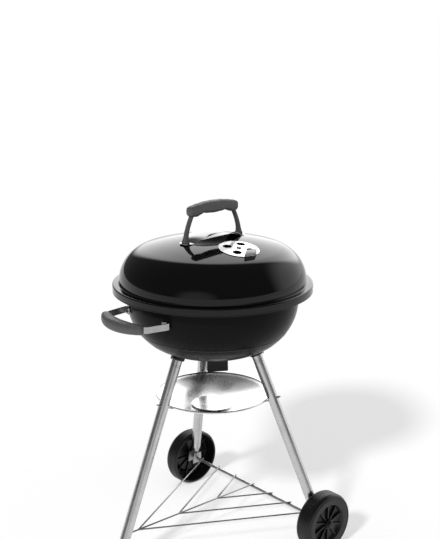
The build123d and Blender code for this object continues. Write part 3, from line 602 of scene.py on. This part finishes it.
def blend_through(stations, s):
    """Value at a place, eased between (place, value) pairs."""
    if s <= stations[0][0]:
        return stations[0][1]
    for (a, u), (b, v) in zip(stations, stations[1:]):
        if s <= b:
            t = (s - a) / (b - a)
            t = t * t * (3 - 2 * t)
            return u + (v - u) * t
    return stations[-1][1]


def make_grip():
    """Moulded grip: crowned top, finger lobes near both ends below, blunt rounded ends."""
    half, blunt, blunt_size = 72.8, 4.0, 0.84
    top = [(0, 17.5), (22, 16.9), (46, 14.2), (62, 11.4), (half, 8.6)]
    under = [(0, -11.5), (20, -10.4), (35, -8.4), (44, -11.6), (53, -15.2), (66, -14.9), (half, -12.4)]
    wide = [(0, 14.0), (40, 13.2), (half, 11.4)]
    rows = 96
    rings = []
    for i in range(rows + 1):
        s = -half + 2 * half * i / rows
        end = max(0.0, (abs(s) - half + blunt) / blunt)
        squash = blunt_size + (1 - blunt_size) * sqrt(max(0.0, 1 - end * end))
        high = grip_height + blend_through(top, abs(s))
        low = grip_height + blend_through(under, abs(s))
        spot = Vector((0, kettle_y + s, (high + low) / 2))
        rings.append(ring_on(
            spot, Vector((1, 0, 0)), Vector((0, 0, 1)), blend_through(wide, abs(s)) * squash,
            (high - low) / 2 * squash, 3.4, 40,
        ))
    bm = bmesh.new()
    loft_into(bm, rings)
    settle(bevelled(finish_mesh("lid_grip", bm, 50), 1.2, 3, 50), "lid", "grip_plastic", grip_plastic,
           "lid_handle_grip")


# ================================ bowl ================================
bowl_floor_centre = bowl_shoulder_z + sqrt(
    (bowl_floor - bowl_shoulder) ** 2 - (bowl_radius - bowl_shoulder) ** 2
)
bowl_bottom = bowl_floor_centre - bowl_floor
ridge_heights = (516.0, 542.0)


def bowl_profile(inset):
    """The bowl's skin from its floor to its rim, with two ridges pressed out low on the wall."""
    swell, reach = 0.9, 2.6
    hub = bowl_radius - bowl_shoulder
    lean = degrees(atan2(hub, bowl_floor_centre - bowl_shoulder_z))
    floor = arc((0, bowl_floor_centre), bowl_floor - inset, -90, -90 + lean, 14)
    wall = arc((hub, bowl_shoulder_z), bowl_shoulder - inset, lean - 90, 0, 90)
    out = floor
    for radius, z in wall[1:]:
        for ridge in ridge_heights:
            near = max(0.0, 1 - abs(z - ridge) / reach)
            radius += swell * near * near
        out.append((radius, z))
    return out


def make_bowl():
    """Round skin that flares under the lid's lip to a rolled bead, with three slots in its floor."""
    wall_top, flare, inside = bowl_shoulder_z + 1, 641.0, bowl_radius - sheet
    rim_out = rounded([
        (bowl_radius, wall_top, 0), (bowl_radius, flare, 6), (bead_reach - 3.4, bead_z - 2.4, 0)
    ])
    rim_in = rounded([
        (inside, wall_top, 0), (inside, flare + 1, 6), (bead_reach - 4.1, bead_z - 1.2, 0)
    ])
    bead = arc((bead_reach, bead_z), bead_radius, -145, 195, 26)
    profile = bowl_profile(0) + rim_out[1:-1] + bead + rim_in[1:-1][::-1] + bowl_profile(sheet)[::-1]
    bm = bmesh.new()
    lathe_into(bm, profile, upright(), pressing_steps)
    bowl = finish_mesh("bowl_shell", bm, 25)
    slot_half, slot_reach, slot_end = 14.0, 52.0, 8.0
    outline = arc((slot_reach + slot_half, 0), slot_end, -90, 90, 12)
    outline += arc((slot_reach - slot_half, 0), slot_end, 90, 270, 12)
    holes = []
    for k in range(3):
        holes.append((turned(120 * k), outline, bowl_bottom - 6, bowl_bottom + 16))
    drilled(bowl, holes, 25)
    settle(bowl, "stand", "bowl_enamel", bowl_enamel, "bowl")


def make_pan():
    """Spun aluminium dish with a raised centre, a narrow flange and a rolled rim."""
    rim, rim_z, bead, depth = 141.5, 375.0, 2.2, 34.0
    low = rim_z - depth
    centre, wall_foot, wall_head, wall_rise, plate = 51.0, 56.0, 131.0, 30.0, 1.2
    bow_most, bow_way = 2.4, (0.371, -0.928)

    def skin(lift):
        base = low + lift
        points = rounded([(0, base + 4, 0), (centre, base + 4, 1.5), (wall_foot, base, 0)])
        start, end = Vector((wall_foot, base)), Vector((wall_head, base + wall_rise))
        for i in range(1, 26):
            t = i / 26
            bow = 4 * t * (1 - t) * bow_most
            point = start.lerp(end, t)
            points.append((point.x + bow * bow_way[0], point.y + bow * bow_way[1]))
        return points + [(wall_head, base + wall_rise), (136.0, base + 31.9)]

    profile = skin(0) + arc((rim - bead, rim_z), bead, -150, 165, 20) + skin(plate)[::-1]
    bm = bmesh.new()
    lathe_into(bm, profile, upright(), 144)
    settle(finish_mesh("ash_dish", bm, 24), "stand", "polished_aluminium", spun_aluminium, "ash_pan")


def make_clips():
    """Spring wires that loop round each leg, with both tails under the pan's flange."""
    wire, height = 1.5, 377.4
    half = leg_radius + wire + 0.2
    back, waist, tail = 30.0, -10.0, -24.0
    bm = bmesh.new()
    for azimuth in (front, left, right):
        axes = leg_axes(azimuth, height)
        path = rounded([
            (tail, 5 - half, 0, 0), (waist, -half, 0, 6), (back, -half, 0, 12), (back, half, 0, 12),
            (waist, half, 0, 6), (tail, half - 5, 0, 0),
        ])
        wire_into(bm, [axes @ p for p in path], wire, 14)
    settle(finish_mesh("pan_clips", bm, 50), "stand", "plated_wire", wire_plating, "ash_pan_clips")


# ================================ side handle ================================
def handle_axes():
    """Axes of the side handle: y outward, x along the grip, z up, at the handle's height."""
    return Matrix.Translation((0, 0, handle_z)) @ turned(handle_azimuth - 90)


def make_side_handle():
    """Two flat bright arms bent out from the bowl, and a grip between their ends."""
    spread_half = radians(24.0)
    foot_half = bowl_radius * sin(spread_half)
    foot_out = bowl_radius * cos(spread_half)
    grip_half, end_out, middle_out = 73.0, 258.0, 280.0
    plate, tall = 3.0, 16.0
    for side, word in ((-1, "right"), (1, "left")):
        path = rounded([
            (side * (foot_half - 17), foot_out + 9.6, 0), (side * (foot_half + 4), foot_out + 1, 3),
            (side * (grip_half + 6), end_out - 8, 6), (side * (grip_half - 8), end_out + 6, 0),
        ], steps=8)
        rings = []
        for i, p in enumerate(path):
            ahead = (path[min(i + 1, len(path) - 1)] - path[max(i - 1, 0)]).normalized()
            across = Vector((ahead.y, -ahead.x, 0))
            spot = Vector((p.x, p.y, 0))
            ring = ring_on(spot, across, Vector((0, 0, 1)), plate / 2, tall / 2, 7.0, 32)
            rings.append([handle_axes() @ q for q in ring])
        bm = bmesh.new()
        loft_into(bm, rings)
        arm = finish_mesh("side_arm_" + word, bm, 40)
        nodes = ("bowl_handle_arms",) if side == 1 else ()
        settle(arm, "stand", "polished_aluminium", brushed_aluminium, *nodes)
    # grip: bowed outward, thickest in the middle and blunt at both ends
    bow = middle_out - end_out
    radius = (grip_half**2 + bow**2) / (2 * bow)
    sweep = degrees(atan(grip_half / (radius - bow))) * 1.045
    rows, blunt, blunt_size = 72, 0.93, 0.72
    rings = []
    for i in range(rows + 1):
        t = -1 + 2 * i / rows
        a = radians(90 - sweep * t)
        spot = Vector((radius * cos(a), middle_out - radius + radius * sin(a), 0))
        across = Vector((cos(a), sin(a), 0))
        end = max(0.0, (abs(t) - blunt) / (1 - blunt))
        squash = blunt_size + (1 - blunt_size) * sqrt(max(0.0, 1 - end * end))
        swell = cos(t * pi / 2 * 0.86)
        wide = (10.2 + 6.2 * swell) * squash
        high = (9.4 + 4.4 * swell) * squash
        ring = ring_on(spot, across, Vector((0, 0, 1)), wide, high, 2.6, 36)
        rings.append([handle_axes() @ q for q in ring])
    bm = bmesh.new()
    loft_into(bm, rings)
    settle(bevelled(finish_mesh("side_grip", bm, 50), 1.0, 3, 50), "stand", "grip_plastic", grip_plastic,
           "bowl_handle_grip")


# ================================ stand ================================
def make_legs():
    """Three tubes with two fine grooves near the top; the wheel legs draw in to a neck."""
    top = 489.0
    bore, groove = leg_radius - leg_wall, leg_radius - 0.5
    for name, azimuth in (("front_leg", front), ("left_leg", left), ("right_leg", right)):
        grooves = []
        for height in (474.0, 470.0):
            at = leg_run(0, height)
            grooves += [
                (leg_radius, at + 0.7, 0), (groove, at + 0.2, 0), (groove, at - 0.2, 0),
                (leg_radius, at - 0.7, 0),
            ]
        high = leg_run(0, top)
        if azimuth == front:
            low = leg_run(0, 6)
            outer = [(leg_radius, high, 0)] + grooves + [(leg_radius, low, 0)]
            inner = [(bore, low, 0), (bore, high, 0)]
        else:
            shoulder, neck, low = leg_run(0, 119), leg_run(0, 100), leg_run(0, 86)
            slim = 8.5
            outer = [(leg_radius, high, 0)] + grooves + [
                (leg_radius, shoulder, 22), (slim, neck, 16), (slim, low, 0)
            ]
            inner = [
                (slim - leg_wall, low, 0), (slim - leg_wall, neck, 16), (bore, shoulder, 22),
                (bore, high, 0),
            ]
        profile = rounded(outer, steps=8) + rounded(inner, steps=8)
        bm = bmesh.new()
        lathe_into(bm, profile, leg_axes(azimuth, 0), 56)
        settle(finish_mesh(name + "_tube", bm), "stand", "plated_tube", tube_plating, name)


def make_sockets():
    """Collars under the bowl: each flares where it meets the sheet and is trimmed to the bowl's curve."""
    foot_height, bore = 484.5, leg_radius + 0.05
    profile = rounded([
        (bore, 0, 0), (leg_radius + 3.4, 0, 1.2), (leg_radius + 4.5, 3, 2),
        (leg_radius + 4.5, 12, 3), (leg_radius + 8.5, 20, 0), (bore, 20, 0),
    ])
    bm = bmesh.new()
    for azimuth in (front, left, right):
        lathe_into(bm, profile, leg_axes(azimuth, foot_height), 44)
    hub = bowl_radius - bowl_shoulder
    for vert in bm.verts:
        reach = hypot(vert.co.x, vert.co.y - kettle_y * MM) / MM
        if reach < hub + 20:
            skin = bowl_floor_centre - sqrt(bowl_floor**2 - reach**2)
        else:
            skin = 0
        wall = bowl_shoulder_z - sqrt(max(0.0, bowl_shoulder**2 - (reach - hub) ** 2))
        vert.co.z = min(vert.co.z, (max(skin, wall) + 0.4) * MM)
    settle(finish_mesh("socket_collars", bm, 45), "stand", "socket_enamel", socket_paint, "leg_sockets")


def make_foot_cap():
    """Cap on the front leg's end, grooved near its foot and cut level where it stands."""
    radius = 15.5
    groove, bore = radius - 0.7, leg_radius + 0.1
    top = leg_run(0, 40)
    profile = rounded([
        (0, -10, 0), (radius, -10, 0), (radius, 10, 0.5), (groove, 11, 0.5), (groove, 12.5, 0.5),
        (radius, 13.5, 0.5), (radius, top, 1.6), (bore, top, 0.5), (bore, 8, 0), (0, 8, 0),
    ])
    bm = bmesh.new()
    lathe_into(bm, profile, leg_axes(front, 0), 48)
    bmesh.ops.remove_doubles(bm, verts=bm.verts, dist=1e-6)
    cut = bmesh.ops.bisect_plane(
        bm, geom=bm.verts[:] + bm.edges[:] + bm.faces[:], plane_co=(0, 0, 0), plane_no=(0, 0, 1),
        clear_inner=True,
    )
    rim = [e for e in cut["geom_cut"] if isinstance(e, bmesh.types.BMEdge)]
    bmesh.ops.contextual_create(bm, geom=rim)
    settle(finish_mesh("foot_shoe", bm), "stand", "foot_plastic", foot_plastic, "foot_cap")


def make_brackets():
    """The flattened leg end: a U of sheet, narrow at the neck and full width round the axle."""
    low, high, steps = 61.0, 96.0, 8
    wide, plate = 11.1, 2.0
    slot = wide - plate
    for name, azimuth in (("left_axle_bracket", left), ("right_axle_bracket", right)):
        rings = []
        for i in range(steps + 1):
            t = i / steps
            height = low + (high - low) * t
            centre = around(leg_foot_reach - leg_slope * height, azimuth, height)
            pinch = 1 - 0.22 * max(0.0, (t - 0.55) / 0.45) ** 1.5
            deep = 15.0 * pinch
            outline = rounded([
                (-wide, -deep, 0.5), (-wide, deep, 3.4), (wide, deep, 3.4), (wide, -deep, 0.5),
                (slot, -deep, 0.5), (slot, deep - plate, 1.4), (-slot, deep - plate, 1.4),
                (-slot, -deep, 0.5),
            ], True, 4)
            rings.append([centre + Vector((p.x, p.y, 0)) for p in outline])
        bm = bmesh.new()
        loft_into(bm, rings)
        settle(finish_mesh(name + "_sheet", bm, 40), "stand", "zinc_steel", zinc, name)


def make_axle():
    """Steel rod through both wheels, a cap at each end and a washer on each wheel's inner side."""
    end, radius = 282.0, 4.0
    bm = bmesh.new()
    profile = rounded([(0, -end, 0), (radius, -end, 0.8), (radius, end, 0.8), (0, end, 0)])
    lathe_into(bm, profile, axle_axes(1), 28)
    settle(finish_mesh("axle_rod", bm), "stand", "zinc_steel", zinc, "axle")
    cap = rounded([
        (3.9, 278.3, 0), (9, 278.3, 0.5), (9, 280.0, 0.8), (7.4, 283.0, 2.2), (0, 283.8, 0),
        (0, 282.4, 0), (3.9, 282.4, 0),
    ])
    bm = bmesh.new()
    for side in (-1, 1):
        lathe_into(bm, cap, axle_axes(side), 32)
    settle(finish_mesh("axle_end_caps", bm), "stand", "foot_plastic", foot_plastic, "axle_caps")
    bore, low, high = 4.05, 254.7, 255.9
    washer = rounded([(bore, low, 0.2), (9, low, 0.3), (9, high, 0.3), (bore, high, 0.2)], True, 3)
    bm = bmesh.new()
    for side in (-1, 1):
        lathe_into(bm, washer, axle_axes(side), 32)
    settle(finish_mesh("axle_flat_washers", bm), "stand", "zinc_steel", zinc, "axle_washers")


def make_wheel(side, word):
    """Moulded wheel: ribbed tread, ringed side wall, spoked dish outside, ribs inside the hollow."""
    dish, dish_in, plate, hub = 44.0, 262.0, 4.0, 12.0
    rim_in = wheel_radius - 8
    bottom = wheel_radius - 1.1
    spokes, spoke_low, spoke_high = 10, dish_in + 1, dish_in + 10
    rib_half, rib_low, rib_high = 1.3, 257.4, 262.8
    section = [(wheel_radius - 3.4, wheel_inner, 2.0), (wheel_radius, wheel_inner + 6, 2.5)]
    for at in (11.0, 17.0, 23.0, 29.0):
        section += [
            (wheel_radius, wheel_inner + at - 1.1, 0.3), (bottom, wheel_inner + at - 0.5, 0.3),
            (bottom, wheel_inner + at + 0.5, 0.3), (wheel_radius, wheel_inner + at + 1.1, 0.3),
        ]
    section += [
        (wheel_radius, wheel_outer - 9, 5), (wheel_radius - 4, wheel_outer - 1.0, 3.0),
        (wheel_radius - 7, wheel_outer, 1.5), (rim_in, wheel_outer - 1.4, 0.5),
        (wheel_radius - 10.0, wheel_outer - 1.4, 0.5), (wheel_radius - 11.0, wheel_outer, 1.0),
        (dish + 5, wheel_outer - 0.6, 3.0), (dish, dish_in + plate, 2.0), (hub, dish_in + plate, 1.0),
        (hub, 277.0, 1.0), (10.4, 278.0, 0.5), (4.1, 278.0, 0.3), (4.1, 256.2, 0.3), (hub, 256.2, 0.8),
        (hub, dish_in, 1.0), (dish, dish_in, 2.5), (dish + 6, wheel_outer - plate, 2.5),
        (rim_in, wheel_outer - plate, 2.5), (rim_in, wheel_inner, 0.8),
    ]
    bm = bmesh.new()
    lathe_into(bm, rounded(section, True, 4), axle_axes(side), 128)
    spoke = [(hub - 1, -1.8), (dish + 1.5, -1.5), (dish + 1.5, 1.5), (hub - 1, 1.8)]
    rib = [(hub - 1, -rib_half), (rim_in + 1, -rib_half), (rim_in + 1, rib_half), (hub - 1, rib_half)]
    for outline, first, low, high in ((spoke, 0, spoke_low, spoke_high), (rib, 18, rib_low, rib_high)):
        for k in range(spokes):
            turn = Matrix.Rotation(radians(first + 360 / spokes * k), 4, "Z")
            axes = axle_axes(side) @ turn @ Matrix.Translation((0, 0, low))
            plate_into(bm, outline, axes, high - low)
    wheel = bevelled(finish_mesh(word + "_wheel_moulding", bm, 38), 0.35, 2, 60)
    settle(wheel, word + "_wheel", "wheel_plastic", wheel_plastic, word + "_wheel")


def make_rack():
    """Welded rods in one plane on the axle: an outer V, a middle rod and two chevrons."""
    height, wire = axle_z + 6.1, 2.0
    leg_at = leg_foot_reach - leg_slope * height
    start, corner = leg_at - 36, leg_at * cos(radians(right)) - 31
    overhang = 5
    back = axle_y - kettle_y
    depth = back + start
    rods = [((0, -leg_at + 6), (0, back + overhang))]
    for third in range(3):
        apex = Vector((0, -start + third * depth / 3))
        for side in (-1, 1):
            arm = Vector((side * corner, depth))
            end = apex + arm.normalized() * (arm.length * (3 - third) / 3 + overhang)
            rods.append((apex, end))
    bm = bmesh.new()
    for a, b in rods:
        wire_into(bm, [(a[0], a[1] + kettle_y, height), (b[0], b[1] + kettle_y, height)], wire, 20)
    settle(finish_mesh("rack_rods", bm, 50), "stand", "plated_wire", wire_plating, "bottom_rack")


def make_cooking_grate():
    """Round rods in a round ring with two cross rods below, and a lifting loop at each side."""
    ring, low, thick, rod, pitch = 200.0, 620.3, 3.0, 1.8, 14.0
    middle = low + thick
    above, below, cross_at = middle + 1.2, middle - 1.2, 75.0
    bm = bmesh.new()
    lathe_into(bm, arc((ring, middle), thick, 0, 342, 19), upright(), 120)
    count = int(ring // pitch)
    for k in range(-count, count):
        x = (k + 0.5) * pitch
        reach = sqrt(ring**2 - x * x)
        wire_into(bm, [(x, kettle_y - reach, above), (x, kettle_y + reach, above)], rod, 12)
    for side in (-1, 1):
        reach = sqrt(ring**2 - cross_at**2)
        y = kettle_y + side * cross_at
        wire_into(bm, [(-reach, y, below), (reach, y, below)], rod, 12)
    settle(finish_mesh("cooking_rods", bm, 50), "cooking_grate", "plated_wire", wire_plating, "cooking_grate")
    half, rise = 32.0, 25.0
    bm = bmesh.new()
    for side in (-1, 1):
        x = side * sqrt(ring**2 - half**2)
        foot, top = middle + 2.2, middle + thick + rise
        loop = rounded([
            (x, kettle_y - half, foot, 0), (x, kettle_y - half, top, 10),
            (x, kettle_y + half, top, 10), (x, kettle_y + half, foot, 0),
        ])
        wire_into(bm, loop, rod, 12)
    settle(finish_mesh("lifting_loops", bm, 50), "cooking_grate", "plated_wire", wire_plating, "grate_loops")


make_lid()
make_damper()
make_damper_rivet()
make_shield()
make_handle_arms()
make_grip()
make_bowl()
make_pan()
make_clips()
make_side_handle()
make_legs()
make_sockets()
make_foot_cap()
make_brackets()
make_axle()
make_wheel(-1, "left")
make_wheel(1, "right")
make_rack()
make_cooking_grate()


# ================================ studio ================================
def make_floor():
    """A pale paper floor that lights itself enough to run into the white backdrop."""
    half = 60.0                        # metres
    corners = [(-half, -half, 0), (half, -half, 0), (half, half, 0), (-half, half, 0)]
    mesh = bpy.data.meshes.new("floor")
    mesh.from_pydata(corners, [], [(0, 1, 2, 3)])
    floor = bpy.data.objects.new("floor", mesh)
    bpy.context.scene.collection.objects.link(floor)
    material, _, shader = surface("floor_paper", (0.8, 0.8, 0.8), 0.0, 0.9, 0.0)
    shader.inputs["Emission Color"].default_value = (1, 1, 1, 1)
    shader.inputs["Emission Strength"].default_value = 0.43
    mesh.materials.append(material)


def direction(azimuth, elevation):
    """A unit vector towards an azimuth and elevation in degrees."""
    a, e = radians(azimuth), radians(elevation)
    return Vector((cos(a) * cos(e), sin(a) * cos(e), sin(e)))


def sky_value(tree, operation, *inputs):
    """One maths node in the world's tree."""
    node = tree.nodes.new("ShaderNodeMath")
    node.operation = operation
    for socket, value in zip(node.inputs, inputs):
        if isinstance(value, (int, float)):
            socket.default_value = value
        else:
            tree.links.new(value, socket)
    return node.outputs[0]


def sky_panel(tree, look, azimuth, elevation, half, edge, strength):
    """A soft round panel of light in the sky: full inside its half angle and gone past its edge."""
    dot = tree.nodes.new("ShaderNodeVectorMath")
    dot.operation = "DOT_PRODUCT"
    dot.inputs[1].default_value = direction(azimuth, elevation)
    tree.links.new(look, dot.inputs[0])
    ramp = tree.nodes.new("ShaderNodeMapRange")
    ramp.interpolation_type = "SMOOTHSTEP"
    ramp.inputs["From Min"].default_value = cos(radians(half + edge))
    ramp.inputs["From Max"].default_value = cos(radians(half))
    ramp.inputs["To Min"].default_value = 0.0
    ramp.inputs["To Max"].default_value = strength
    tree.links.new(dot.outputs["Value"], ramp.inputs["Value"])
    return ramp.outputs["Result"]


def make_world():
    """White to the eye; in reflections a dim studio with soft panels behind, to the right and in front."""
    world = bpy.data.worlds.new("studio")
    bpy.context.scene.world = world
    world.use_nodes = True
    tree = world.node_tree
    background = tree.nodes["Background"]
    background.inputs["Color"].default_value = (1, 1, 1, 1)
    look = tree.nodes.new("ShaderNodeTexCoord").outputs["Generated"]
    dim, fill_strength = 0.14, 0.42
    # each panel: azimuth, elevation, half angle, width of its soft edge, strength
    panels = ((133, 26, 24, 9, 2.3), (80, 8, 20, 26, 1.2), (300, 0, 6, 24, 0.6))
    total = dim
    for panel in panels:
        total = sky_value(tree, "ADD", sky_panel(tree, look, *panel), total)
    path = tree.nodes.new("ShaderNodeLightPath")
    unseen = sky_value(tree, "SUBTRACT", 1.0, path.outputs["Is Camera Ray"])
    fill = sky_value(tree, "MULTIPLY", path.outputs["Is Diffuse Ray"], fill_strength)
    bright = sky_value(tree, "MULTIPLY", total, path.outputs["Is Glossy Ray"])
    reflected = sky_value(tree, "MULTIPLY", sky_value(tree, "ADD", fill, bright), unseen)
    strength = sky_value(tree, "ADD", reflected, path.outputs["Is Camera Ray"])
    tree.links.new(strength, background.inputs["Strength"])


def make_studio():
    """The world and one soft key light from the front left, kept out of reflections."""
    make_world()
    lamp = bpy.data.lights.new("key", "SUN")
    lamp.energy = 1.6
    lamp.angle = radians(7)
    holder = bpy.data.objects.new("key", lamp)
    holder.rotation_euler = (-direction(289, 37)).to_track_quat("-Z", "Y").to_euler()
    holder.visible_glossy = False
    bpy.context.scene.collection.objects.link(holder)


def make_camera():
    """The reference viewing angle: from front right, a little above the lid."""
    camera = bpy.data.cameras.new("camera")
    camera.sensor_width = 36.0
    camera.lens = 69.88
    holder = bpy.data.objects.new("camera", camera)
    bpy.context.scene.collection.objects.link(holder)
    eye_reach, eye_azimuth, eye_height = 2440.5, -40.58, 1318.3
    ahead = direction(139.01, -14.47)
    holder.location = around(eye_reach, eye_azimuth, eye_height) * MM
    holder.rotation_euler = ahead.to_track_quat("-Z", "Y").to_euler()
    bpy.context.scene.camera = holder


make_floor()
make_studio()
make_camera()
bpy.context.scene.view_settings.view_transform = "Standard"
